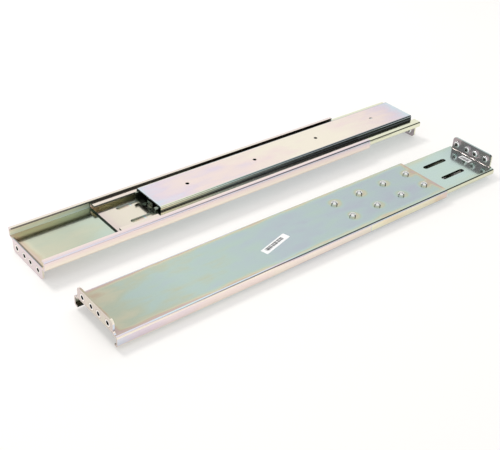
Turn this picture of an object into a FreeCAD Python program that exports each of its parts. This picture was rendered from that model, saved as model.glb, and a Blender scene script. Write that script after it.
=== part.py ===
"""Pair of sliding server rails, in millimetres.

Each rail has a front bracket and a rear bracket, nested C-channels that telescope to suit the rack's
depth, and a two-member ball-bearing slide that is clamped inside them. A rail is modelled in its own
frame: X runs from the face of the front flange to the rear, Y runs across the rail from its centre
line, and Z leaves the outer face of the front bracket towards the server. The left rail lies on its
outer face and the right rail is turned over onto its slide.
"""

import FreeCAD, Part
import math
import os

Vector = FreeCAD.Vector

# --- brackets ---------------------------------------------------------------------------------
sheet = 2.0                   # thickness of both brackets
bend_radius = 0.6             # inside radius of every bracket bend
bracket_width = 76.2          # outside width of the front bracket
front_length = 442.4          # front bracket, along the rail
front_lip = 5.2               # width of the front bracket's lips
rear_length = 444.6           # rear bracket, along the rail
rear_wall_flat = 2.4          # straight part of the rear bracket's walls, between its bends
running_gap = 0.3             # between the nested brackets and the slide
side_gap = 0.4                # between the walls of the nested brackets
lip_gap = 0.4                 # between the rear bracket's lips and the front bracket's
slide_side_gap = 1.3          # between the rear bracket's lips and the slide
left_drawn_out = 10.3         # rear bracket beyond its shortest setting, left rail
right_drawn_out = 5.0         # the same, right rail

# --- rack flanges -----------------------------------------------------------------------------
flange_height = 14.0          # below the front bracket's outer face
front_flange_inset = 6.85     # flange side from the bracket's wall
rear_flange_inset = 5.95
flange_corner = 4.5           # radius of the free corners
flange_root = 2.6             # radius where a flange's sides run into the web
rack_wide_pitch = 15.875      # hole spacing of a server rack
rack_narrow_pitch = 12.7
rack_hole_drop = 6.2          # hole centres below the front bracket's outer face

# --- clinch nuts and clamp screws -------------------------------------------------------------
nut_diameter = 7.8
nut_height = 2.8
nut_chamfer = 1.0             # outer edge of a nut's mouth
nut_shank = 6.4               # the part pressed into the sheet
nut_bore = 4.4
press_clearance = 0.03
thread_gap = 0.1              # between a screw's shank and the bores it passes through
screw_head = 6.6
screw_head_height = 1.9
screw_recess = 2.6
screw_recess_depth = 1.1
screw_tip = 1.0               # screw end, above the nut's mouth
clamp_head_gap = 0.85         # between a screw's head and the bend of the base's wall
clamp_pitch = 38.5
clamp_count = 4
clamp_margin = 15.1           # last pair, from the front bracket's rear edge

# --- slots of the rear bracket, from its front edge -------------------------------------------
slot_width = 6.2
end_slot_length = 38.0
front_slot_start = 20.5
clamp_slot_start = 143.0
clamp_slot_length = 205.2
rear_slot_margin = 32.8       # rear end of the last slot, from the rear flange face

# --- ball-bearing slide -----------------------------------------------------------------------
slide_sheet = 1.4             # chassis rail
base_sheet = 1.2              # slide base
slide_radius = 0.6            # inside radius of the main bends
groove_radius = 0.8           # inside radius of the small bends
slide_width = 47.3
slide_length = 387.0
slide_ahead = 168.3           # chassis rail's front end, ahead of the first clamp screws
base_lead = 5.0               # the base starts this much further forward
floor_gap = 0.7               # chassis rail lips above the rear bracket
web_gap = 0.7                 # base walls below the chassis rail's web
race_gap = 1.7                # between the facing walls
groove_depth = 0.5
groove_flat = 1.8
groove_mouth = 4.0
groove_margin = 0.8           # straight wall above and below a groove
ball_clearance = 0.05
race_lip_gap = 0.4            # between the chassis rail's lips and the base
base_hook = 1.7               # inward hook on the base's walls
window_length = 50.0          # access windows of the base, over the rear bracket's last slots
window_width = 7.4
window_margin = 18.0          # window to the rear end of the base
chassis_hole = 4.4
chassis_countersink = 7.6     # on the underside of the web, where the screws' heads lie
chassis_hole_pitch = 95.25
chassis_hole_count = 4
cage_sheet = 0.5
cage_height = 4.4
cage_length = 128.0
cage_margin = 5.0             # cage to the front of the base, at full travel
pocket_clearance = 0.1
balls_per_row = 6
slide_travel = 240.0

# --- stops ------------------------------------------------------------------------------------
stop_width = 13.0
stop_sheet = 1.4
stop_pad = 9.0
stop_gap = 0.3
stop_height = 6.0             # rear tab of the base, above its web
bumper_length = 10.0
bumper_width = 11.0
bumper_height = 5.4
bumper_stem = 3.6
front_tab_width = 10.0
front_tab_height = 4.0
front_tab_set_back = 6.5

# --- how the pair lies ------------------------------------------------------------------------
rail_spacing = 123.0          # between centre lines
stagger = 4.9                 # the left rail starts this much further forward

# --- places worked out from the sizes ---------------------------------------------------------
outer_bend = bend_radius + sheet
half_width = bracket_width / 2
rear_floor = sheet + running_gap
rear_half_width = half_width - sheet - side_gap
rear_height = 2 * outer_bend + rear_wall_flat
front_height = rear_floor + rear_height + lip_gap + sheet
base_floor = rear_floor + sheet + running_gap
flange_reach = bend_radius + 2 * sheet          # web that is bent with a flange
tab_reach = slide_radius + 2 * base_sheet
rack_holes = [
    -rack_narrow_pitch / 2 - rack_wide_pitch,
    -rack_narrow_pitch / 2,
    rack_narrow_pitch / 2,
    rack_narrow_pitch / 2 + rack_wide_pitch,
]
screw_shank = nut_bore - 2 * thread_gap
clamp_last = front_length - clamp_margin
clamp_xs = [clamp_last - clamp_pitch * k for k in reversed(range(clamp_count))]
slide_half = slide_width / 2
slide_wall = slide_half - slide_sheet           # inner face of the chassis rail's walls
base_half = slide_wall - race_gap               # outer face of the base's walls
rear_lip = rear_half_width - slide_half - slide_side_gap
clamp_y = base_half - base_sheet - slide_radius - clamp_head_gap - screw_head / 2
race_y = (slide_wall + base_half) / 2
ball_radius = race_gap / 2 + groove_depth - ball_clearance
slide_bottom = rear_floor + sheet + floor_gap   # underside of the chassis rail's lips
race_z = base_floor + base_sheet + slide_radius + groove_margin + groove_mouth / 2
base_top = race_z + groove_mouth / 2 + groove_margin + groove_radius / 2 + base_sheet
slide_top = base_top + web_gap + slide_sheet
slide_start = clamp_xs[0] - slide_ahead
base_start = slide_start - base_lead
shortest_reach = clamp_last + screw_shank / 2 - clamp_slot_start - clamp_slot_length + rear_length
left_reach = shortest_reach + left_drawn_out    # front flange face to rear flange face
right_reach = shortest_reach + right_drawn_out
base_end = base_start + slide_length
chassis_stop_x = base_end - base_sheet - stop_gap - stop_sheet
bumper_end = chassis_stop_x - slide_travel - stop_gap
cage_start = base_start + cage_margin + slide_travel / 2
chassis_hole_xs = [
    slide_start + slide_length / 2 + chassis_hole_pitch * (k - (chassis_hole_count - 1) / 2)
    for k in range(chassis_hole_count)
]


# --- shapes shared by the pieces --------------------------------------------------------------
def side_line(points, radii, offset, sheet_thickness):
    """Edges along one side of a bent sheet whose middle line is points; offset is positive to its left."""
    headings = [
        math.atan2(b[1] - a[1], b[0] - a[0]) for a, b in zip(points, points[1:])
    ]
    corners = [shifted(points[0], headings[0], headings[0], offset)]
    turns = []
    for k in range(1, len(points) - 1):
        corners.append(shifted(points[k], headings[k - 1], headings[k], offset))
        turn = headings[k] - headings[k - 1]
        turns.append(math.atan2(math.sin(turn), math.cos(turn)))
    corners.append(shifted(points[-1], headings[-1], headings[-1], offset))
    edges = []
    start = corners[0]
    for k, turn in enumerate(turns):
        inside = turn * offset > 0
        radius = radii[k] if inside else radii[k] + sheet_thickness
        reach = radius * math.tan(abs(turn) / 2)
        corner = corners[k + 1]
        before = moved(corner, headings[k], -reach)
        after = moved(corner, headings[k + 1], reach)
        middle_heading = headings[k] + turn / 2 + math.copysign(math.pi / 2, turn)
        middle = moved(corner, middle_heading, radius / math.cos(turn / 2) - radius)
        edges.append(("line", start, before))
        edges.append(("arc", before, middle, after))
        start = after
    edges.append(("line", start, corners[-1]))
    return edges


def shifted(point, heading_in, heading_out, offset):
    """The corner of a parallel line, where two runs of it meet."""
    turn = heading_out - heading_in
    normal = heading_in + turn / 2 + math.pi / 2
    return moved(point, normal, offset / math.cos(turn / 2))


def moved(point, heading, distance):
    return (point[0] + distance * math.cos(heading), point[1] + distance * math.sin(heading))


def bent_sheet(points, radii, thickness, to_space, sweep):
    """A sheet bent along points, its middle line in a plane, and swept straight through sweep."""
    left = side_line(points, radii, thickness / 2, thickness)
    right = side_line(points, radii, -thickness / 2, thickness)
    outline = left + [("line", left[-1][-1], right[-1][-1])]
    outline += [(kind,) + tuple(reversed(ends)) for kind, *ends in reversed(right)]
    outline += [("line", right[0][1], left[0][1])]
    edges = []
    for kind, *ends in outline:
        places = [to_space(*p) for p in ends]
        edge = Part.LineSegment(*places) if kind == "line" else Part.Arc(*places)
        edges.append(edge.toShape())
    return Part.Face(Part.Wire(edges)).extrude(sweep)


def across(x):
    """Places of a section that lies across the rail at x."""
    return lambda y, z: Vector(x, y, z)


def along(y):
    """Places of a section that lies along the rail at y."""
    return lambda x, z: Vector(x, y, z)


def mirrored_path(half):
    """A symmetric section from its right half, which starts beside the centre line."""
    return [(-y, z) for y, z in reversed(half)] + list(half)


def block(x, y, z):
    """A box between two values in each direction."""
    size = [hi - lo for lo, hi in (x, y, z)]
    return Part.makeBox(*size, Vector(x[0], y[0], z[0]))


def round_bar(diameter, length, start, direction):
    return Part.makeCylinder(diameter / 2, length, start, direction)


def clinch_nut(face, outward):
    """A clinch nut seated on a sheet: face is on the surface under its barrel, outward leaves it."""
    shank = round_bar(nut_shank - 2 * press_clearance, sheet, face - outward * sheet, outward)
    barrel = round_bar(nut_diameter, nut_height, face, outward)
    mouth = face + outward * nut_height
    rim = [e for e in barrel.Edges if e.CenterOfMass.distanceToPoint(mouth) < nut_chamfer / 2]
    barrel = barrel.makeChamfer(nut_chamfer, rim)
    bore = round_bar(nut_bore, sheet + nut_height, face - outward * sheet, outward)
    return shank.fuse(barrel).cut(bore).removeSplitter()


def stadium(x_from, x_to, y, width, z_from, z_to):
    """A slot with round ends, along the rail."""
    r = width / 2
    body = block((x_from + r, x_to - r), (y - r, y + r), (z_from, z_to))
    ends = [
        round_bar(width, z_to - z_from, Vector(x, y, z_from), Vector(0, 0, 1))
        for x in (x_from + r, x_to - r)
    ]
    return body.fuse(ends)


# --- brackets ---------------------------------------------------------------------------------
def channel(half, floor, height, lip, x_from, x_to):
    """A bracket's C-section: web, walls and inward lips."""
    wall = half - sheet / 2
    top = floor + height - sheet / 2
    path = mirrored_path([(wall, floor + sheet / 2), (wall, top), (half - lip, top)])
    radii = [bend_radius] * (len(path) - 2)
    return bent_sheet(path, radii, sheet, across(x_from), Vector(x_to - x_from, 0, 0))


def flange(x_face, inward, floor, half, inset):
    """A rack flange bent off the web: x_face is its rack side, inward is +1 or -1 along X."""
    width = 2 * (half - inset)
    middle = x_face + inward * sheet / 2
    path = [
        (x_face + inward * flange_reach, floor + sheet / 2),
        (middle, floor + sheet / 2),
        (middle, -flange_height),
    ]
    plate = bent_sheet(path, [bend_radius], sheet, along(-width / 2), Vector(0, width, 0))
    corners = [
        e for e in plate.Edges
        if abs(e.BoundBox.ZMax + flange_height) < 0.01
        and e.BoundBox.XLength > sheet / 2
        and abs(abs(e.CenterOfMass.y) - width / 2) < 0.01
    ]
    plate = plate.makeFillet(flange_corner, corners)
    x = sorted((x_face, x_face + inward * sheet))
    for side in (-1, 1):
        edge = side * width / 2
        y = sorted((edge, edge + side * flange_root))
        root = block(x, y, (floor - flange_root, floor))
        centre = Vector(x[0], edge + side * flange_root, floor - flange_root)
        hollow = round_bar(2 * flange_root, sheet, centre, Vector(1, 0, 0))
        plate = plate.fuse(root.cut(hollow))
    return plate


def with_flange(body, x_face, inward, floor, half, inset):
    """Puts a rack flange on a bracket and drills its nut holes."""
    x = sorted((x_face, x_face + inward * flange_reach))
    gap = block(x, (inset - half, half - inset), (floor, floor + sheet))
    body = body.cut(gap).fuse(flange(x_face, inward, floor, half, inset))
    start = min(x_face, x_face + inward * sheet)
    holes = [
        round_bar(nut_shank, sheet, Vector(start, y, -rack_hole_drop), Vector(1, 0, 0)) for y in rack_holes
    ]
    return body.cut(holes).removeSplitter()


def front_bracket():
    body = channel(half_width, 0, front_height, front_lip, 0, front_length)
    body = with_flange(body, 0, 1, 0, half_width, front_flange_inset)
    holes = [
        round_bar(nut_shank, sheet, Vector(x, y, 0), Vector(0, 0, 1))
        for x in clamp_xs for y in (-clamp_y, clamp_y)
    ]
    return body.cut(holes)


def rear_bracket(reach):
    start = reach - rear_length
    body = channel(rear_half_width, rear_floor, rear_height, rear_lip, start, reach)
    body = with_flange(body, reach, -1, rear_floor, rear_half_width, rear_flange_inset)
    last = reach - rear_slot_margin
    runs = [
        (start + front_slot_start, start + front_slot_start + end_slot_length),
        (start + clamp_slot_start, start + clamp_slot_start + clamp_slot_length),
        (last - end_slot_length, last),
    ]
    slots = [
        stadium(x_from, x_to, y, slot_width, rear_floor, rear_floor + sheet)
        for x_from, x_to in runs for y in (-clamp_y, clamp_y)
    ]
    return body.cut(slots)


def flange_nuts(x_inner, inward):
    """Four nuts on the inner side of a rack flange."""
    return Part.makeCompound([
        clinch_nut(Vector(x_inner, y, -rack_hole_drop), Vector(inward, 0, 0)) for y in rack_holes
    ])


def clamp_nuts():
    return Part.makeCompound([
        clinch_nut(Vector(x, y, 0), Vector(0, 0, -1)) for x in clamp_xs for y in (-clamp_y, clamp_y)
    ])


def clamp_screws():
    """Low-head screws that pass through the base and the rear bracket's slots into the clamp nuts."""
    seat = base_floor + base_sheet
    tip = -nut_height + screw_tip
    screws = []
    for x in clamp_xs:
        for y in (-clamp_y, clamp_y):
            shank = round_bar(screw_shank, seat - tip, Vector(x, y, tip), Vector(0, 0, 1))
            head = round_bar(screw_head, screw_head_height, Vector(x, y, seat), Vector(0, 0, 1))
            recess_z = seat + screw_head_height - screw_recess_depth
            recess = round_bar(screw_recess, screw_recess_depth, Vector(x, y, recess_z), Vector(0, 0, 1))
            screws.append(shank.fuse(head).cut(recess).removeSplitter())
    return Part.makeCompound(screws)


# --- ball-bearing slide -----------------------------------------------------------------------
def groove(wall, outward):
    """Middle-line places of a ball groove in a wall, from top to bottom; outward deepens it that way."""
    deep = wall + outward * groove_depth
    return [
        (wall, race_z + groove_mouth / 2),
        (deep, race_z + groove_flat / 2),
        (deep, race_z - groove_flat / 2),
        (wall, race_z - groove_mouth / 2),
    ]


def chassis_rail():
    """The moving member: a C-section that wraps the base and carries the server."""
    wall = slide_half - slide_sheet / 2
    web = slide_top - slide_sheet / 2
    lip = slide_bottom + slide_sheet / 2
    half = [(wall, web)] + groove(wall, 1) + [(wall, lip), (base_half + race_lip_gap, lip)]
    half_radii = [slide_radius] + [groove_radius] * 4 + [groove_radius / 2]
    radii = list(reversed(half_radii)) + half_radii
    body = bent_sheet(
        mirrored_path(half), radii, slide_sheet, across(slide_start), Vector(slide_length, 0, 0)
    )
    for x in chassis_hole_xs:
        underside = Vector(x, 0, slide_top - slide_sheet)
        hole = round_bar(chassis_hole, slide_sheet, underside, Vector(0, 0, 1))
        countersink = Part.makeCone(
            chassis_countersink / 2, chassis_hole / 2, slide_sheet / 2, underside, Vector(0, 0, 1)
        )
        body = body.cut([hole, countersink])
    return body


def slide_base():
    """The fixed member: a U-section inside the chassis rail, with a stop tab at each end."""
    wall = base_half - base_sheet / 2
    web = base_floor + base_sheet / 2
    top = base_top - base_sheet / 2
    rising = list(reversed(groove(wall, -1)))
    half = [(wall, web)] + rising + [(wall, top), (base_half - base_sheet - base_hook, top)]
    half_radii = [slide_radius] + [groove_radius] * 4 + [groove_radius / 2]
    radii = list(reversed(half_radii)) + half_radii
    body = bent_sheet(
        mirrored_path(half), radii, base_sheet, across(base_start), Vector(slide_length, 0, 0)
    )
    holes = [
        round_bar(nut_bore, base_sheet, Vector(x, y, base_floor), Vector(0, 0, 1))
        for x in clamp_xs for y in (-clamp_y, clamp_y)
    ]
    stem_hole = round_bar(
        bumper_stem, base_sheet, Vector(bumper_end - bumper_length / 2, 0, base_floor), Vector(0, 0, 1)
    )
    windows = [
        stadium(
            base_end - window_margin - window_length, base_end - window_margin,
            y, window_width, base_floor, base_floor + base_sheet
        )
        for y in (-clamp_y, clamp_y)
    ]
    body = body.cut(holes + [stem_hole] + windows)
    rear = stop_tab(base_end, -1, stop_width, stop_height)
    front = stop_tab(base_start + front_tab_set_back, 1, front_tab_width, front_tab_height)
    notch_x = (base_start, base_start + front_tab_set_back + tab_reach)
    notch = block(
        notch_x, (-front_tab_width / 2 - base_sheet, front_tab_width / 2 + base_sheet),
        (base_floor, base_floor + base_sheet)
    )
    corner = block(
        (base_end - tab_reach, base_end), (-stop_width / 2, stop_width / 2),
        (base_floor, base_floor + base_sheet)
    )
    return body.cut([notch, corner]).fuse([rear, front]).removeSplitter()


def stop_tab(x_face, inward, width, height):
    """A tab bent up off the base's web, with its outer face at x_face."""
    middle = x_face + inward * base_sheet / 2
    web = base_floor + base_sheet / 2
    path = [
        (x_face + inward * tab_reach, web),
        (middle, web),
        (middle, base_floor + base_sheet + height),
    ]
    return bent_sheet(path, [slide_radius], base_sheet, along(-width / 2), Vector(0, width, 0))


def chassis_stop():
    """An angle on the underside of the chassis rail's web, which meets the tab and the bumper."""
    top = slide_top - slide_sheet
    middle = chassis_stop_x + stop_sheet / 2
    path = [
        (chassis_stop_x - stop_pad, top - stop_sheet / 2),
        (middle, top - stop_sheet / 2),
        (middle, base_floor + base_sheet + stop_height / 2),
    ]
    return bent_sheet(path, [slide_radius], stop_sheet, along(-stop_width / 2), Vector(0, stop_width, 0))


def stop_bumper():
    """A rubber buffer pushed into the base's web, which ends the chassis rail's travel."""
    seat = base_floor + base_sheet
    half = bumper_width / 2
    pad = block((bumper_end - bumper_length, bumper_end), (-half, half), (seat, seat + bumper_height))
    upright = [e for e in pad.Edges if e.BoundBox.ZLength > bumper_height / 2]
    pad = pad.makeFillet(bumper_width / 5, upright)
    stem = round_bar(
        bumper_stem - 2 * press_clearance, base_sheet,
        Vector(bumper_end - bumper_length / 2, 0, base_floor), Vector(0, 0, 1)
    )
    return pad.fuse(stem)


def ball_xs():
    pitch = cage_length / balls_per_row
    return [cage_start + pitch * (k + 0.5) for k in range(balls_per_row)]


def ball_cage(side):
    y = side * race_y
    strip = block(
        (cage_start, cage_start + cage_length), (y - cage_sheet / 2, y + cage_sheet / 2),
        (race_z - cage_height / 2, race_z + cage_height / 2)
    )
    pocket = 2 * (ball_radius + pocket_clearance)
    back = y - cage_sheet / 2
    pockets = [
        round_bar(pocket, cage_sheet, Vector(x, back, race_z), Vector(0, 1, 0)) for x in ball_xs()
    ]
    return strip.cut(pockets)


def balls(side):
    return Part.makeCompound([
        Part.makeSphere(ball_radius, Vector(x, side * race_y, race_z)) for x in ball_xs()
    ])


# --- the pair ---------------------------------------------------------------------------------
def rail_pieces(reach):
    """Every piece of one rail, in the rail's own frame."""
    return {
        "front_bracket": front_bracket(),
        "front_flange_nuts": flange_nuts(sheet, 1),
        "clamp_nuts": clamp_nuts(),
        "rear_bracket": rear_bracket(reach),
        "rear_flange_nuts": flange_nuts(reach - sheet, -1),
        "clamp_screws": clamp_screws(),
        "slide_base": slide_base(),
        "stop_bumper": stop_bumper(),
        "chassis_rail": chassis_rail(),
        "chassis_stop": chassis_stop(),
        "upper_ball_cage": ball_cage(1),
        "lower_ball_cage": ball_cage(-1),
        "upper_balls": balls(1),
        "lower_balls": balls(-1),
    }


def left_place(shape, middle_x):
    """The left rail stands on the edges of its flanges, open side up."""
    placed = shape.copy()
    placed.translate(Vector(-stagger - middle_x, rail_spacing / 2, flange_height))
    return placed


def right_place(shape, middle_x):
    """The right rail is turned over and lies on its chassis rail."""
    placed = shape.copy()
    placed.rotate(Vector(0, 0, 0), Vector(1, 0, 0), 180)
    placed.translate(Vector(-middle_x, -rail_spacing / 2, slide_top))
    return placed


def main():
    os.makedirs("parts", exist_ok=True)
    front_end = -stagger
    rear_end = max(left_reach - stagger, right_reach)
    middle_x = (front_end + rear_end) / 2
    for side, reach, place in (("left", left_reach, left_place), ("right", right_reach, right_place)):
        for name, shape in rail_pieces(reach).items():
            place(shape, middle_x).exportStep(f"parts/{side}_{name}.step")


main()
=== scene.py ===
"""Studio picture of a pair of sliding server rails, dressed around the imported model. Sizes are in metres.

Nearly all of it is passivated zinc on bent sheet. The film on the zinc has one row of colours, FILM, and
its thickness says which of them shows. zinc() lets the thickness run its own course along each region of
a node's sheet.
"""

import math

import bmesh
import bpy
from mathutils import Matrix, Vector


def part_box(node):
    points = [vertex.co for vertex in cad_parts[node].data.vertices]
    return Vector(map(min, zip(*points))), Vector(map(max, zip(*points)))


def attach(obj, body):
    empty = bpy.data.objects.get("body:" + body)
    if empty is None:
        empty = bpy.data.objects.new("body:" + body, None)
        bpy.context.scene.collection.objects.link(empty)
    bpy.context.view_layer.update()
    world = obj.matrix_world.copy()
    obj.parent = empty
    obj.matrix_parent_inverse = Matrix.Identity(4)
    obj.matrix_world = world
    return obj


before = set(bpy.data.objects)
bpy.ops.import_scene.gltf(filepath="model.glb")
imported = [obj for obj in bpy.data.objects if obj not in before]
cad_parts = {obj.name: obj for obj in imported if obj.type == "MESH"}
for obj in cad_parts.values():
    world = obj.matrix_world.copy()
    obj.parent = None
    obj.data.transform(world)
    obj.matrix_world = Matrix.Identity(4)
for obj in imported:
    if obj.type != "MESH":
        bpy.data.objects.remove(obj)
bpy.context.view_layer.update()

MM = 0.001
SIDES = ("left", "right")
WHITE = (1.0, 1.0, 1.0, 1.0)
NOISE_RANGE = (0.3, 0.7)                  # a noise seldom leaves it

# --- camera -----------------------------------------------------------------------------------------
CAMERA_PLACE = Vector((-0.5679, -0.6318, 0.5461))
CAMERA_TURN = math.radians(-41.66)        # about the vertical
CAMERA_TILT = math.radians(56.32)         # up from straight down
CAMERA_ROLL = math.radians(3.91)
CAMERA_LENS = 64.73                       # millimetres
CAMERA_SENSOR = 36.0                      # millimetres
CAMERA_SHIFT = -0.036                     # sideways, in widths of the picture
CAMERA_NEAREST = 0.02

# --- room, lamp and floor ---------------------------------------------------------------------------
ROOM_COLOUR = (0.95, 0.95, 0.95, 1.0)
DARK_COLOUR = (0.03, 0.035, 0.03, 1.0)
DARK_SIDES = [                            # the direction of each, and half the angle that it fills
    (Vector((0.80, -0.40, 0.60)), math.radians(22)),
    (Vector((-0.52, 0.58, 0.78)), math.radians(20)),
]
DARK_BLUR = 0.03                          # softness of a dark side's edge, as a cosine
KEY_PLACE = (-0.32, 0.95, 1.6)
KEY_DIAMETER = 0.55
KEY_POWER = 15.0                          # watts
KEY_COLOUR = (1.0, 0.985, 0.96)
FLOOR_HALF = 4.0
FLOOR_LEVEL = -0.2 * MM                   # just under the rails
FLOOR_BLOTCH = 0.5
FLOOR_COLOURS = (0.95, 0.925, 0.895), (0.965, 0.94, 0.91)
FLOOR_WHITE = 0.38                        # share of pure white that the camera and reflections see in it

# --- the film of the passivated zinc ----------------------------------------------------------------
FILM = [                                  # its colours, in the order in which its thickness brings them
    (0.00, (0.95, 0.88, 0.74)),           # cream
    (0.13, (0.93, 0.79, 0.74)),           # pink
    (0.25, (0.84, 0.73, 0.80)),           # lilac
    (0.37, (0.74, 0.81, 0.90)),           # pale blue
    (0.50, (0.74, 0.88, 0.90)),           # blue-green
    (0.62, (0.74, 0.92, 0.84)),           # sea green
    (0.72, (0.80, 0.88, 0.70)),           # green
    (0.82, (0.94, 0.92, 0.70)),           # yellow
    (0.92, (0.90, 0.75, 0.56)),           # tan
    (1.00, (0.88, 0.70, 0.64)),           # rose
]
CLOUD = 38 * MM
PATCH = 13 * MM
STREAK = 2.2 * MM
GRAIN = 0.5 * MM
PATCH_SHARE = 0.7                         # how strong the patches are, against the clouds
WALL_SHARE = 0.4                          # how cloudy the walls are, against the web
STREAK_FILM = 0.05
CLOUD_ROUGHNESS = 0.05
EDGE_REACH = (2.2, 0.3)                   # where the film starts and stops thickening, in edge widths
SIDE_BRIGHTENING_REACH = (9 * MM, 2 * MM)             # where the brightening of the web's sides starts and is full
HALO_FILM = 0.34
HALO_REACH = (12 * MM, 4 * MM)
HALO_RAGGED = 12 * MM
HALO_OFFSET = 2.5 * MM                    # towards the rear, to which the film ran
# painted shade on the lower part of the walls, and the softness of its upper edge
LOWER_WALL_SHADE = 0.75
LOWER_WALL_BLUR = 0.3 * MM
UNDER_LIP_REACH = (0.55, 0.8)                  # where the corner under a lip gets painted shade, in heights of the wall
MATT_BLUR = 0.002                         # in lengths of the piece
MATT_WEB = (0.23, 0.30)                  # where the web gets less metallic too, in lengths of the piece

# --- where the regions of a bent sheet begin --------------------------------------------------------
LIP_REACH = (3 * MM, 4 * MM)              # distance from the web
LIP_LOOKS_IN = -2 * MM                    # that distance times the vertical part of the normal
LIP_EDGE = 4 * MM                         # distance from the sides
SLOT_EDGE = 13 * MM                       # distance from the sides
STEEP = (0.5, 0.8)                        # part of the normal that makes a face a wall or the flange
BENT = (0.03, 0.12)                       # part of the normal that makes it a bend
BEND_ENDS = (0.999, 0.98)                 # part of the normal at which a side's bend turns into the wall
FACES_DOWN = -0.5                         # vertical part of the normal
LEVEL_FACE = 0.99                         # vertical part of the normal
WEB_AREA = 0.6                            # least area of a web's face, against the largest level one

# --- nuts -------------------------------------------------------------------------------------------
RACK_PITCH = 12.7 * MM                    # between a rack unit's two middle holes
RACK_WIDE_PITCH = 15.875 * MM             # from each of these to the outer hole
NUTS_IN_ROW = 4                           # clamp nuts stand in two rows
FOREMOST = 0.2                            # share of a row's length that holds its first nut alone
NUT_SEAT = (4.5 * MM, 4.2 * MM)           # radii of the dark ring round a nut pressed into a flange
NUT_FACE = (4.1 * MM, 3.8 * MM)           # radii of the nut's own end
NUT_FILM = 0.06
SEAT_SHADE = 0.5
BORE = (2.5 * MM, 2.3 * MM)               # radii of the painted shade in the bore

# --- colours of the small parts, each from its darker to its brighter blotches ----------------------
BRIGHT_ZINC = (0.78, 0.79, 0.80), (0.90, 0.90, 0.88)
FLANGE_NUT_ZINC = (0.84, 0.85, 0.86), (0.94, 0.94, 0.93)
STRIP_STEEL = (0.34, 0.34, 0.33), (0.46, 0.46, 0.45)
BALL_STEEL = (0.72, 0.72, 0.73), (0.82, 0.82, 0.83)
RUBBER = (0.020, 0.020, 0.022), (0.040, 0.040, 0.042)
# painted shade in the bores of the flange nuts
BORE_SHADE = (0.12, 0.12, 0.11, 1.0)

# --- labels -----------------------------------------------------------------------------------------
LABEL_CORNER = 0.8 * MM
LABEL_THICKNESS = 0.12 * MM
CORNER_STEPS = 4
BARS_MIDDLE = 0.6 * MM                    # across the label
BARS_HALF = 2.3 * MM
BARS_VARY = 2.4 * MM                      # how soon wide bars turn into narrow ones
BARS_BALANCE = 0.62                       # of ink and paper: a larger number gives wider bars
BARS_CONTRAST = 3.5                       # between wide and narrow bars
INK = (0.03, 0.03, 0.035, 1.0)
PAPER = (0.86, 0.86, 0.86), (0.92, 0.92, 0.92)


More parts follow.
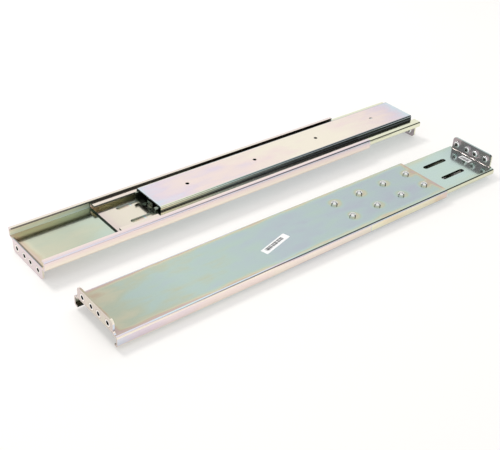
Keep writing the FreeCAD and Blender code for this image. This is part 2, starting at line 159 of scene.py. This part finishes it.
# --- shader nodes -----------------------------------------------------------------------------------
class Shader:
    """One material or world, with short ways to add its nodes."""

    def __init__(self, owner):
        owner.use_nodes = True
        self.tree = owner.node_tree
        self.tree.nodes.clear()

    def node(self, kind, **settings):
        made = self.tree.nodes.new(kind)
        for name, value in settings.items():
            setattr(made, name, value)
        return made

    def put(self, value, socket):
        """Sets a socket to a number or colour, or links another node's output to it."""
        if isinstance(value, bpy.types.NodeSocket):
            self.tree.links.new(value, socket)
        else:
            socket.default_value = value

    def math(self, operation, *values, clamp=False):
        made = self.node("ShaderNodeMath", operation=operation, use_clamp=clamp)
        for value, socket in zip(values, made.inputs):
            self.put(value, socket)
        return made.outputs[0]

    def add(self, first, second, clamp=False):
        return self.math("ADD", first, second, clamp=clamp)

    def less(self, first, second):
        """The first without the second."""
        return self.math("SUBTRACT", first, second)

    def times(self, first, *others):
        product = first
        for other in others:
            product = self.math("MULTIPLY", product, other)
        return product

    def least(self, first, second):
        return self.math("MINIMUM", first, second)

    def most(self, first, second):
        return self.math("MAXIMUM", first, second)

    def size(self, value):
        """A value without its sign."""
        return self.math("ABSOLUTE", value)

    def above(self, value, limit):
        return self.math("GREATER_THAN", value, limit)

    def below(self, value, limit):
        return self.math("LESS_THAN", value, limit)

    def without(self, mask):
        """1 where the mask is 0, and 0 where it is 1."""
        return self.less(1.0, mask)

    def dimmed(self, value, mask, by):
        """A value that loses the share by where the mask is 1."""
        return self.times(value, self.without(self.times(mask, by)))

    def distance(self, first, second):
        """Length of the long side of a right triangle."""
        return self.math("SQRT", self.add(self.times(first, first), self.times(second, second)))

    def smooth(self, value, low, high):
        """0 below low and 1 above high, or the other way round where low is the larger."""
        made = self.node("ShaderNodeMapRange", interpolation_type="SMOOTHSTEP")
        self.put(value, made.inputs["Value"])
        made.inputs["From Min"].default_value = min(low, high)
        made.inputs["From Max"].default_value = max(low, high)
        made.inputs["To Min"].default_value = 0.0 if low < high else 1.0
        made.inputs["To Max"].default_value = 1.0 if low < high else 0.0
        return made.outputs[0]

    def share(self, value, low, high):
        """How far value is from low to high, kept between 0 and 1."""
        made = self.node("ShaderNodeMapRange")
        self.put(value, made.inputs["Value"])
        made.inputs["From Min"].default_value = low
        made.inputs["From Max"].default_value = high
        return made.outputs[0]

    def ramp(self, value, stops):
        """A colour for each value, from (value, colour) stops."""
        made = self.node("ShaderNodeValToRGB")
        elements = made.color_ramp.elements
        while len(elements) < len(stops):
            elements.new(0.5)
        while len(elements) > len(stops):
            elements.remove(elements[-1])
        for element, (place, colour) in zip(elements, stops):
            element.position = place
            element.color = (*colour, 1.0)
        self.put(value, made.inputs[0])
        return made.outputs[0]

    def tint(self, noise, dark, bright):
        """A colour that wanders between two with a noise."""
        low, high = NOISE_RANGE
        return self.ramp(noise, [(low, dark), (high, bright)])

    def profile(self, along, stops):
        """Film, level and roughness as one colour, from (place, film, level, roughness) stops."""
        return self.ramp(along, [(place, values) for place, *values in stops])

    def mix(self, factor, first, second, blend="MIX"):
        """A colour from two others, which enter the node's sockets 6 and 7."""
        made = self.node("ShaderNodeMix", data_type="RGBA", blend_type=blend)
        self.put(factor, made.inputs[0])
        self.put(first, made.inputs[6])
        self.put(second, made.inputs[7])
        return made.outputs[2]

    def blend(self, factor, first, second):
        """A number between two others, which enter the node's sockets 2 and 3."""
        made = self.node("ShaderNodeMix", data_type="FLOAT")
        self.put(factor, made.inputs[0])
        self.put(first, made.inputs[2])
        self.put(second, made.inputs[3])
        return made.outputs[0]

    def split(self, vector):
        """X, Y and Z of a vector."""
        made = self.node("ShaderNodeSeparateXYZ")
        self.put(vector, made.inputs[0])
        return tuple(made.outputs)

    def places(self):
        """X, Y and Z on the object at rest, and the place itself."""
        place = self.node("ShaderNodeTexCoord").outputs["Object"]
        return (*self.split(place), place)

    def normal(self):
        """X, Y and Z of the direction that the surface faces, on the object at rest."""
        return self.split(self.node("ShaderNodeTexCoord").outputs["Normal"])

    def noise(self, place, size, stretch=(1, 1, 1), detail=2.0):
        """Noise from 0 to 1, with blotches of about size, longer along each axis by stretch."""
        scaled = self.node("ShaderNodeMapping")
        self.put(place, scaled.inputs[0])
        scaled.inputs["Scale"].default_value = [1 / (size * s) for s in stretch]
        made = self.node("ShaderNodeTexNoise")
        made.inputs["Scale"].default_value = 1.0
        made.inputs["Detail"].default_value = detail
        self.put(scaled.outputs[0], made.inputs["Vector"])
        return made.outputs["Fac"]

    def matt(self, colour, roughness):
        """A surface that isn't metal."""
        shader = self.node("ShaderNodeBsdfPrincipled")
        self.put(colour, shader.inputs["Base Color"])
        self.put(roughness, shader.inputs["Roughness"])
        self.surface(shader.outputs[0])
        return shader

    def metal(self, colour, roughness, height=None, strength=0.05):
        """A metallic surface, bumped by height where that is given."""
        shader = self.matt(colour, roughness)
        shader.inputs["Metallic"].default_value = 1.0
        if height is not None:
            bump = self.node("ShaderNodeBump")
            bump.inputs["Strength"].default_value = strength
            bump.inputs["Distance"].default_value = 0.2 * MM
            self.put(height, bump.inputs["Height"])
            self.put(bump.outputs[0], shader.inputs["Normal"])
        return shader

    def surface(self, output):
        self.put(output, self.node("ShaderNodeOutputMaterial").inputs["Surface"])


def material(name):
    made = bpy.data.materials.new(name)
    return made, Shader(made)


def give(piece, made):
    """Puts one material on all of a piece."""
    if not piece.data.materials:
        piece.data.materials.append(made)
    for k in range(len(piece.data.materials)):
        piece.data.materials[k] = made


def link(name, data):
    """A new object in the scene."""
    piece = bpy.data.objects.new(name, data)
    bpy.context.scene.collection.objects.link(piece)
    return piece


def web_height(node):
    """Height of the upper face of a node's web, which is one of its two largest level faces."""
    levels = {}
    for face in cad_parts[node].data.polygons:
        if abs(face.normal.z) > LEVEL_FACE:
            level = round(face.center.z, 5)
            levels[level] = levels.get(level, 0.0) + face.area
    largest = max(levels.values())
    return max(level for level, area in levels.items() if area > WEB_AREA * largest)


# --- nuts -------------------------------------------------------------------------------------------
def nut_width(nuts):
    """Diameter of a node's clamp nuts, from the vertices of the foremost one."""
    low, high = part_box(nuts)
    foremost = low.x + FOREMOST * (high.x - low.x)
    reach = [v.co.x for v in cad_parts[nuts].data.vertices if v.co.x < foremost]
    return max(reach) - min(reach)


def nearest_clamp_nut(s, x, y, nuts):
    """Distance to the axis of the nearest of a node's clamp nuts."""
    low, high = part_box(nuts)
    width = nut_width(nuts)
    pitch = (high.x - low.x - width) / (NUTS_IN_ROW - 1)
    first = low.x + width / 2
    step = s.math("ROUND", s.math("DIVIDE", s.less(x, first), pitch))
    step = s.least(s.most(step, 0.0), NUTS_IN_ROW - 1.0)
    dx = s.less(x, s.add(first, s.times(step, pitch)))
    row = (high.y - low.y - width) / 2
    dy = s.less(s.size(s.less(y, (low.y + high.y) / 2)), row)
    return s.distance(dx, dy)


def nearest_flange_nut(s, y, z, nuts):
    """Distance to the axis of the nearest of a flange's nuts, at the uneven pitches of a rack's holes."""
    low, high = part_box(nuts)
    from_middle = s.size(s.less(y, (low.y + high.y) / 2))
    inner = s.size(s.less(from_middle, RACK_PITCH / 2))
    outer = s.size(s.less(from_middle, RACK_PITCH / 2 + RACK_WIDE_PITCH))
    return s.distance(s.least(inner, outer), s.less(z, (low.z + high.z) / 2))


# --- zinc film --------------------------------------------------------------------------------------
def course(roughness, *stops):
    """A region's stops along the piece, from (place, film, level) and one roughness."""
    return [(*stop, roughness) for stop in stops]


def even(film, level, roughness):
    """The stops of a region that is the same all along the piece."""
    return ((0.0, film, level, roughness),)


# PLAIN_INNER and PLAIN_FREE_EDGE have low levels as painted shade, inside the channels and along the lips'
# free edges
PLAIN_INNER = even(0.74, 0.35, 0.2)
PLAIN_FREE_EDGE = even(0.70, 0.1, 0.2)
SLOT_SIDES = even(0.55, 0.45, 0.15)
LIP_INSIDE_FILM = 0.76
LIP_INSIDE_ROUGHNESS = 0.25


class Sheet:
    """Where a point of a node's bent sheet lies, and masks of 0 to 1 for the sheet's regions."""

    def __init__(self, s, node):
        low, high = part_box(node)
        web = web_height(node)
        opens_up = node.startswith("left") != ("chassis" in node)
        self.x, self.y, self.z, self.place = s.places()
        normal_x, normal_y, self.normal_z = s.normal()
        self.lean_x, self.lean_y = s.size(normal_x), s.size(normal_y)

        self.along = s.share(self.x, low.x, high.x)
        self.across = s.less(self.y, (low.y + high.y) / 2)
        self.height = s.share(self.z, web, high.z if opens_up else low.z)
        self.from_side = s.less((high.y - low.y) / 2, s.size(self.across))
        self.from_end = s.least(s.less(self.x, low.x), s.less(high.x, self.x))
        from_web = s.less(self.z, web)

        self.lip = s.smooth(s.size(from_web), *LIP_REACH)
        self.lip_inside = s.below(s.times(self.normal_z, from_web), LIP_LOOKS_IN)
        self.lip_edge = s.times(s.above(self.from_side, LIP_EDGE), s.above(self.height, 0.5))
        self.wall = s.smooth(self.lean_y, *STEEP)
        self.wall_inside = s.below(s.times(normal_y, self.across), 0.0)
        self.slot = s.above(self.from_side, SLOT_EDGE)
        self.flange = s.smooth(self.lean_x, *STEEP)
        self.web = s.without(s.most(self.wall, s.most(self.lip, self.flange)))


def zinc(node, web, wall, underside=None, bend=None, inner=PLAIN_INNER, lip=None, far_lip=None,
         free_edge=PLAIN_FREE_EDGE, flange=None, end_bend=None, edge_film=0.30, edge_width=5 * MM,
         side_brightening=0.0, wall_slope=0.0, clouds_film=0.22, under_lip_shade=0.6, halo=None, nuts=None,
         shade_below=None, painted_light_matt=None):
    """Passivated zinc on a CAD node.

    Each region of the sheet has stops of (place along it, film, level, roughness): the web and its
    underside, the outer walls and their bends, the inner walls, the lips, the far lip, the lips' free
    edges, the flange and the bend before it. The place is 0 at the front end of the piece and 1 at its
    rear end. Film is a place in FILM, and level is how bright its colour is. Where a region's level is
    low or falls along the piece, it carries painted shade and painted reflections of the room's dark sides.

    edge_film and edge_width thicken the film along the web's edges, and side_brightening brightens its
    sides.
    wall_slope is how much the film changes over the height of the walls, and clouds_film how much it
    wanders. under_lip_shade is painted shade: it darkens the corners under the lips and the lips' inside
    faces.
    halo names the clamp nuts with a thicker film round them, and nuts the nuts pressed into the flange.
    grease is the height below which the walls are darkened with painted shade. dusty is (start, end,
    share): between these places the inner walls, and the web from MATT_WEB on, are less metallic by
    that share, which paints light into these shaded parts.
    """
    made, s = material(f"zinc_{node}")
    sheet = Sheet(s, node)

    def lay(region, mask, stops):
        return s.mix(mask, region, s.profile(sheet.along, stops))

    region = s.profile(sheet.along, web)
    if underside is not None:
        region = lay(region, s.below(sheet.normal_z, FACES_DOWN), underside)
    lips = s.profile(sheet.along, lip or web)
    if far_lip is not None:
        lips = lay(lips, s.above(sheet.across, 0.0), far_lip)
    region = s.mix(sheet.lip, region, lips)
    # painted shade on the inside faces of the lips
    region = lay(region, sheet.lip_inside, even(LIP_INSIDE_FILM, 1.0 - under_lip_shade, LIP_INSIDE_ROUGHNESS))
    walls = lay(s.profile(sheet.along, wall), sheet.wall_inside, inner)
    walls = lay(walls, sheet.slot, SLOT_SIDES)
    walls = lay(walls, sheet.lip_edge, free_edge)
    region = s.mix(sheet.wall, region, walls)
    if bend is not None:
        bent = s.times(s.smooth(sheet.lean_y, *BENT), s.smooth(sheet.lean_y, *BEND_ENDS))
        region = lay(region, s.times(bent, s.without(sheet.wall_inside)), bend)
    if end_bend is not None:
        region = lay(region, s.smooth(sheet.lean_x, *BENT), end_bend)
    region = lay(region, sheet.flange, flange or wall)
    parts = s.node("ShaderNodeSeparateColor")
    s.put(region, parts.inputs[0])
    film, level, roughness = parts.outputs

    clouds = s.noise(sheet.place, CLOUD, stretch=(2.0, 1, 1), detail=3.0)
    patches = s.noise(sheet.place, PATCH, stretch=(2.5, 1, 1))
    streaks = s.noise(sheet.place, STREAK, stretch=(30, 1, 1))
    grain = s.noise(sheet.place, GRAIN, stretch=(6, 1, 1))

    start, full = EDGE_REACH
    edge = s.smooth(s.least(sheet.from_side, sheet.from_end), start * edge_width, full * edge_width)
    edge = s.times(edge, s.add(0.5, patches), edge_film)
    film = s.add(film, s.times(edge, sheet.web))
    # the web brighter towards its sides
    brightened_sides = s.times(s.smooth(sheet.from_side, *SIDE_BRIGHTENING_REACH), sheet.web)
    level = s.add(level, s.times(s.without(level), s.times(brightened_sides, side_brightening)))
    if halo is not None:
        reach = nearest_clamp_nut(s, s.less(sheet.x, HALO_OFFSET), sheet.y, halo)
        reach = s.add(reach, s.times(s.less(patches, 0.5), HALO_RAGGED))
        film = s.add(film, s.times(s.smooth(reach, *HALO_REACH), HALO_FILM))
    if wall_slope:
        film = s.add(film, s.times(s.less(sheet.height, 0.5), wall_slope, sheet.wall))
    mottle = s.add(s.less(clouds, 0.5), s.times(s.less(patches, 0.5), PATCH_SHARE))
    film = s.add(film, s.times(mottle, s.blend(sheet.wall, clouds_film, WALL_SHARE * clouds_film)))
    film = s.add(film, s.times(s.less(streaks, 0.5), STREAK_FILM), clamp=True)

    # painted shade on the walls below a given height
    if shade_below is not None:
        lower_wall = s.smooth(sheet.z, shade_below + LOWER_WALL_BLUR, shade_below - LOWER_WALL_BLUR)
        level = s.dimmed(level, s.times(lower_wall, sheet.wall), LOWER_WALL_SHADE)
    # painted shade in the corners under the lips
    under_lip = s.times(s.smooth(sheet.height, *UNDER_LIP_REACH), sheet.wall_inside, sheet.wall)
    level = s.dimmed(level, under_lip, under_lip_shade)
    if nuts is not None:
        from_nut = nearest_flange_nut(s, sheet.y, sheet.z, nuts)
        seat = s.times(s.smooth(from_nut, *NUT_SEAT), sheet.flange)
        face = s.times(s.smooth(from_nut, *NUT_FACE), sheet.flange)
        level = s.blend(face, s.dimmed(level, seat, SEAT_SHADE), 1.0)
        film = s.blend(face, film, NUT_FILM)

    shade = s.node("ShaderNodeCombineXYZ")
    for socket in shade.inputs:
        s.put(level, socket)
    colour = s.mix(1.0, s.ramp(film, FILM), shade.outputs[0], "MULTIPLY")
    roughness = s.add(roughness, s.times(clouds, CLOUD_ROUGHNESS))
    shader = s.metal(colour, roughness, height=grain, strength=0.04)
    # painted light: less metallic, so these shaded parts show their colour lit by the room
    if painted_light_matt is not None:
        start, end, share = painted_light_matt
        reach = s.times(s.smooth(sheet.along, start - MATT_BLUR, start + MATT_BLUR),
                        s.smooth(sheet.along, end + MATT_BLUR, end - MATT_BLUR))
        inside = s.most(s.times(sheet.wall, sheet.wall_inside),
                        s.times(sheet.web, s.smooth(sheet.along, *MATT_WEB)))
        s.put(s.without(s.times(reach, inside, share)), shader.inputs["Metallic"])
    give(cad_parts[node], made)


# --- nuts, screws, balls, cages and buffers ---------------------------------------------------------
def turned_zinc(name, dark, bright, bored=None):
    """Bright zinc with a turned grain. bored names the flange nuts whose bores get painted shade."""
    made, s = material(name)
    _, y, z, place = s.places()
    clouds = s.noise(place, 3 * MM, detail=3.0)
    colour = s.tint(clouds, dark, bright)
    if bored is not None:
        # painted shade in the bores
        colour = s.mix(s.smooth(nearest_flange_nut(s, y, z, bored), *BORE), colour, BORE_SHADE)
    roughness = s.add(0.12, s.times(clouds, 0.12))
    s.metal(colour, roughness, height=s.noise(place, 0.4 * MM), strength=0.08)
    return made


def strip_steel():
    """Rolled steel strip, streaked along its length."""
    made, s = material("cage_strip")
    _, _, _, place = s.places()
    streaks = s.noise(place, 1.5 * MM, stretch=(20, 1, 1))
    s.metal(s.tint(streaks, *STRIP_STEEL), roughness=0.32, height=streaks)
    return made


def ball_steel():
    """Polished steel."""
    made, s = material("ball_steel")
    _, _, _, place = s.places()
    s.metal(s.tint(s.noise(place, 2 * MM), *BALL_STEEL), roughness=0.07)
    return made


def buffer_rubber():
    """Black rubber, slightly uneven."""
    made, s = material("buffer_rubber")
    _, _, _, place = s.places()
    s.matt(s.tint(s.noise(place, 0.6 * MM, detail=3.0), *RUBBER), roughness=0.75)
    return made


def dress_small_parts():
    bright = turned_zinc("bright_zinc", *BRIGHT_ZINC)
    strip, ball, rubber = strip_steel(), ball_steel(), buffer_rubber()
    for side in SIDES:
        for end in ("front", "rear"):
            nuts = f"{side}_{end}_flange_nuts"
            give(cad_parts[nuts], turned_zinc(f"zinc_{nuts}", *FLANGE_NUT_ZINC, bored=nuts))
        give(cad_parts[f"{side}_clamp_nuts"], bright)
        give(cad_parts[f"{side}_clamp_screws"], bright)
        for row in ("upper", "lower"):
            give(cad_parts[f"{side}_{row}_ball_cage"], strip)
            give(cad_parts[f"{side}_{row}_balls"], ball)
        give(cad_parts[f"{side}_stop_bumper"], rubber)


# --- sheet pieces -----------------------------------------------------------------------------------
# The outer faces of the two brackets' webs look the same on both rails.
FRONT_OUTSIDE = course(
    0.16, (0.0, 0.92, 0.56), (0.04, 0.83, 0.58), (0.10, 0.75, 0.63), (0.22, 0.65, 0.70),
    (0.45, 0.55, 0.68), (0.70, 0.46, 0.66), (0.85, 0.42, 0.64), (0.95, 0.46, 0.64), (1.0, 0.55, 0.64),
)
REAR_OUTSIDE = course(0.12, (0.0, 0.58, 0.74), (0.80, 0.58, 0.76), (0.92, 0.60, 0.76), (1.0, 0.56, 0.66))


def dress_left():
    """The left rail lies with its open side up, so its channels show their inside."""
    zinc("left_front_bracket",
         web=course(0.12, (0.0, 0.84, 0.84), (0.03, 0.77, 0.72), (0.12, 0.73, 0.70), (0.18, 0.69, 0.76),
                    (0.23, 0.68, 0.78), (0.25, 0.80, 0.90), (0.29, 1.0, 0.95), (0.30, 0.0, 0.96)),
         wall=course(0.14, (0.0, 0.12, 0.94), (0.5, 0.12, 0.92), (0.8, 0.13, 0.88), (1.0, 0.18, 0.86)),
         bend=course(0.10, (0.0, 0.20, 1.0), (0.6, 0.20, 1.0), (1.0, 0.24, 0.9)),
         lip=course(0.08, (0.0, 0.14, 1.0), (0.4, 0.14, 1.0), (0.6, 0.10, 1.0), (1.0, 0.17, 1.0)),
         far_lip=course(0.10, (0.0, 0.0, 0.97), (0.3, 0.0, 0.94), (0.7, 0.05, 0.97), (1.0, 0.12, 1.0)),
         # inner walls bright at the front end and darker towards the rear: painted shade
         inner=[(0.0, 0.84, 1.0, 0.5), (0.08, 0.82, 1.0, 0.5), (0.16, 0.77, 0.9, 0.45),
                (0.24, 0.72, 0.5, 0.3)],
         flange=even(0.20, 0.82, 0.12),
         end_bend=even(0.80, 0.5, 0.12),
         # free edges dark from a fifth of the way back: painted shade
         free_edge=course(0.2, (0.0, 0.0, 0.9), (0.13, 0.0, 0.8), (0.22, 0.70, 0.1)),
         underside=FRONT_OUTSIDE,
         edge_film=0.14, side_brightening=0.4, wall_slope=0.26, clouds_film=0.14, under_lip_shade=0.75,
         halo="left_clamp_nuts", nuts="left_front_flange_nuts", painted_light_matt=(0.0, 0.5, 0.95))
    zinc("left_rear_bracket",
         web=course(0.12, (0.0, 0.04, 0.84), (0.05, 0.01, 0.90), (1.0, 0.0, 0.9)),
         wall=even(0.79, 0.88, 0.14),
         lip=course(0.08, (0.0, 0.06, 0.95), (0.785, 0.08, 0.95), (0.787, 0.79, 0.93)),
         # inner walls bright only at the front end, then darker: painted shade
         inner=[(0.0, 1.0, 1.0, 0.35), (0.03, 0.84, 1.0, 0.35), (0.09, 0.72, 0.9, 0.3),
                (0.2, 0.60, 0.3, 0.2)],
         flange=course(0.2, (0.0, 0.6, 0.25), (0.5, 0.22, 0.55)),
         underside=REAR_OUTSIDE,
         edge_film=0.08, clouds_film=0.08, under_lip_shade=0.0,
         nuts="left_rear_flange_nuts", painted_light_matt=(0.0, 0.2, 0.7))
    zinc("left_chassis_rail",
         web=course(0.15, (0.0, 0.42, 0.96), (0.008, 0.31, 0.97), (0.03, 0.26, 1.0), (0.16, 0.15, 1.0),
                    (0.36, 0.06, 1.0), (0.52, 0.0, 1.0), (0.70, 0.02, 1.0), (0.84, 0.14, 0.97),
                    (0.95, 0.24, 0.92), (0.985, 0.33, 0.90), (1.0, 0.46, 0.90)),
         # walls and their bend bright at the front, darker towards the rear: painted reflection
         wall=course(0.08, (0.0, 0.80, 1.0), (0.15, 0.68, 0.95), (0.35, 0.50, 0.8), (0.7, 0.45, 0.6)),
         bend=course(0.08, (0.0, 0.80, 1.0), (0.15, 0.72, 1.0), (0.30, 0.55, 0.6), (0.6, 0.45, 0.4)),
         # dark inner walls: painted shade inside the rail
         inner=even(0.60, 0.25, 0.2),
         flange=even(0.5, 0.6, 0.15),
         # painted shade on the rail's walls from 3.6 mm under their top downwards
         edge_film=0.0, clouds_film=0.36, shade_below=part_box("left_chassis_rail")[1].z - 3.6 * MM)


def dress_right():
    """The right rail lies turned over, so its channels show their outside."""
    zinc("right_front_bracket",
         web=FRONT_OUTSIDE,
         wall=course(0.14, (0.0, 0.34, 0.90), (0.05, 0.25, 0.90), (0.12, 0.16, 0.96), (0.40, 0.12, 1.0),
                     (0.60, 0.09, 0.97), (0.72, 0.0, 0.88), (0.7201, 0.82, 0.94), (0.80, 0.84, 0.90),
                     (0.94, 0.84, 0.86), (1.0, 1.0, 0.80)),
         # bend bright on the front half, darker on the rear half: painted reflection
         bend=course(0.12, (0.0, 0.0, 1.0), (0.40, 0.04, 1.0), (0.50, 0.30, 0.75)),
         flange=even(0.10, 0.70, 0.14),
         edge_film=0.36, edge_width=4 * MM, side_brightening=0.2, wall_slope=-0.06, clouds_film=0.50,
         halo="right_clamp_nuts", nuts="right_front_flange_nuts")
    zinc("right_rear_bracket",
         web=REAR_OUTSIDE,
         wall=even(0.80, 0.78, 0.14),
         flange=even(0.22, 0.46, 0.20),
         end_bend=even(0.03, 0.7, 0.3),
         edge_film=0.08)
    zinc("right_chassis_rail",
         # the inner level of 0.25 is painted shade inside the rail
         web=even(0.2, 0.8, 0.15), wall=even(0.60, 0.8, 0.15), inner=even(0.6, 0.25, 0.2))


def dress_slide_bases():
    """The slides' bases and the stops of their chassis rails, which lie in the dark; their low levels are
    painted shade.
    """
    for side in SIDES:
        zinc(f"{side}_slide_base", web=even(0.70, 0.4, 0.2), wall=even(0.66, 0.4, 0.2), edge_film=0.05)
        zinc(f"{side}_chassis_stop", web=even(0.60, 0.6, 0.2), wall=even(0.60, 0.6, 0.2), edge_film=0.05)


# --- labels -----------------------------------------------------------------------------------------
def label_paper(name, bar_start, bar_end, bar_width):
    """White label with plain printed bars along part of it, which stand for no code."""
    made, s = material(name)
    x, y, _, place = s.places()
    bars = s.math("SINE", s.times(x, math.tau / bar_width))
    wide = s.noise(place, BARS_VARY, stretch=(1, 1000, 1000), detail=0.0)
    ink = s.above(bars, s.times(s.less(wide, BARS_BALANCE), BARS_CONTRAST))
    inside = s.times(s.above(x, bar_start), s.below(x, bar_end))
    band = s.below(s.size(s.less(y, BARS_MIDDLE)), BARS_HALF)
    paper = s.tint(s.noise(place, 1.0 * MM), *PAPER)
    s.matt(s.mix(s.times(ink, inside, band), paper, INK), roughness=0.55)
    return made


def label(name, body, centre, length, width, turn, paper):
    """A thin label with small round corners, flat on the face at centre."""
    mesh = bmesh.new()
    outline = []
    for quarter, (sx, sy) in enumerate(((1, 1), (-1, 1), (-1, -1), (1, -1))):
        for k in range(CORNER_STEPS + 1):
            angle = math.pi / 2 * (quarter + k / CORNER_STEPS)
            outline.append(mesh.verts.new((
                sx * (length / 2 - LABEL_CORNER) + LABEL_CORNER * math.cos(angle),
                sy * (width / 2 - LABEL_CORNER) + LABEL_CORNER * math.sin(angle),
                0.0,
            )))
    face = mesh.faces.new(outline)
    extruded = bmesh.ops.extrude_face_region(mesh, geom=[face])["geom"]
    top = [v for v in extruded if isinstance(v, bmesh.types.BMVert)]
    bmesh.ops.translate(mesh, vec=(0, 0, LABEL_THICKNESS), verts=top)
    bmesh.ops.recalc_face_normals(mesh, faces=mesh.faces)
    data = bpy.data.meshes.new(name)
    mesh.to_mesh(data)
    mesh.free()
    piece = link(name, data)
    piece.location = centre
    piece.rotation_euler = (0, 0, turn)
    give(piece, paper)
    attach(piece, body)


def labels():
    """One label on the right front bracket's web, and one at the rear end of the right rear bracket's."""
    low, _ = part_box("right_front_bracket")
    _, rear_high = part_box("right_rear_bracket")
    plate_centre = (low.x + 208.6 * MM, low.y + 31.2 * MM, web_height("right_front_bracket"))
    label("plate_label", "pair", plate_centre, length=41 * MM, width=9 * MM, turn=math.radians(16),
          paper=label_paper("plate_label_paper", bar_start=-16 * MM, bar_end=13 * MM, bar_width=2.4 * MM))
    end_centre = (rear_high.x - 10.5 * MM, low.y + 39 * MM, web_height("right_rear_bracket"))
    label("end_label", "right_rear", end_centre, length=16 * MM, width=8 * MM, turn=math.radians(90),
          paper=label_paper("end_label_paper", bar_start=-6 * MM, bar_end=6 * MM, bar_width=1.4 * MM))


# --- studio -----------------------------------------------------------------------------------------
def dark_side(s, direction, centre, half_angle):
    """1 in the middle of a dark part of the room, seen in reflections, and 0 outside it."""
    dot = s.node("ShaderNodeVectorMath", operation="DOT_PRODUCT")
    s.put(direction, dot.inputs[0])
    s.put(centre.normalized(), dot.inputs[1])
    edge = math.cos(half_angle)
    return s.smooth(dot.outputs["Value"], edge - DARK_BLUR, edge + DARK_BLUR)


def room():
    """A white room with two dark sides, which the bends and the flanges reflect."""
    world = bpy.data.worlds.new("room")
    bpy.context.scene.world = world
    s = Shader(world)
    direction = s.node("ShaderNodeTexCoord").outputs["Generated"]
    dark = s.most(*(dark_side(s, direction, centre, half_angle) for centre, half_angle in DARK_SIDES))
    colour = s.mix(dark, ROOM_COLOUR, DARK_COLOUR)
    seen = s.node("ShaderNodeLightPath").outputs["Is Camera Ray"]
    light = s.node("ShaderNodeBackground")
    s.put(s.mix(seen, colour, WHITE), light.inputs["Color"])
    light.inputs["Strength"].default_value = 1.0
    s.put(light.outputs[0], s.node("ShaderNodeOutputWorld").inputs["Surface"])


def key_light():
    """A large soft lamp, aimed at the middle of the object."""
    data = bpy.data.lights.new("key", "AREA")
    data.shape = "DISK"
    data.size = KEY_DIAMETER
    data.energy = KEY_POWER
    data.color = KEY_COLOUR
    lamp = link("key", data)
    lamp.location = KEY_PLACE
    lamp.rotation_euler = (-lamp.location).to_track_quat("-Z", "Y").to_euler()


def floor():
    """A pale floor. The camera and the reflections see it whiter than the light finds it."""
    mesh = bpy.data.meshes.new("floor")
    signs = ((-1, -1), (1, -1), (1, 1), (-1, 1))
    corners = [(x * FLOOR_HALF, y * FLOOR_HALF, FLOOR_LEVEL) for x, y in signs]
    mesh.from_pydata(corners, [], [(0, 1, 2, 3)])
    piece = link("floor", mesh)
    made, s = material("floor_paper")
    _, _, _, place = s.places()
    paper = s.node("ShaderNodeBsdfDiffuse")
    s.put(s.tint(s.noise(place, FLOOR_BLOTCH, detail=1.0), *FLOOR_COLOURS), paper.inputs["Color"])
    white = s.node("ShaderNodeEmission")
    white.inputs["Color"].default_value = WHITE
    rays = s.node("ShaderNodeLightPath").outputs
    seen = s.most(rays["Is Camera Ray"], s.most(rays["Is Glossy Ray"], rays["Is Transmission Ray"]))
    both = s.node("ShaderNodeMixShader")
    s.put(s.times(seen, FLOOR_WHITE), both.inputs[0])
    s.put(paper.outputs[0], both.inputs[1])
    s.put(white.outputs[0], both.inputs[2])
    s.surface(both.outputs[0])
    give(piece, made)


def camera():
    data = bpy.data.cameras.new("camera")
    data.lens = CAMERA_LENS
    data.sensor_width = CAMERA_SENSOR
    data.shift_x = CAMERA_SHIFT
    data.clip_start = CAMERA_NEAREST
    piece = link("camera", data)
    turn = Matrix.Rotation(CAMERA_TURN, 4, "Z")
    tilt = Matrix.Rotation(CAMERA_TILT, 4, "X")
    roll = Matrix.Rotation(CAMERA_ROLL, 4, "Z")
    piece.matrix_world = Matrix.Translation(CAMERA_PLACE) @ turn @ tilt @ roll
    bpy.context.scene.camera = piece


bpy.context.scene.view_settings.view_transform = "Standard"
camera()
room()
key_light()
floor()
dress_left()
dress_right()
dress_slide_bases()
dress_small_parts()
labels()
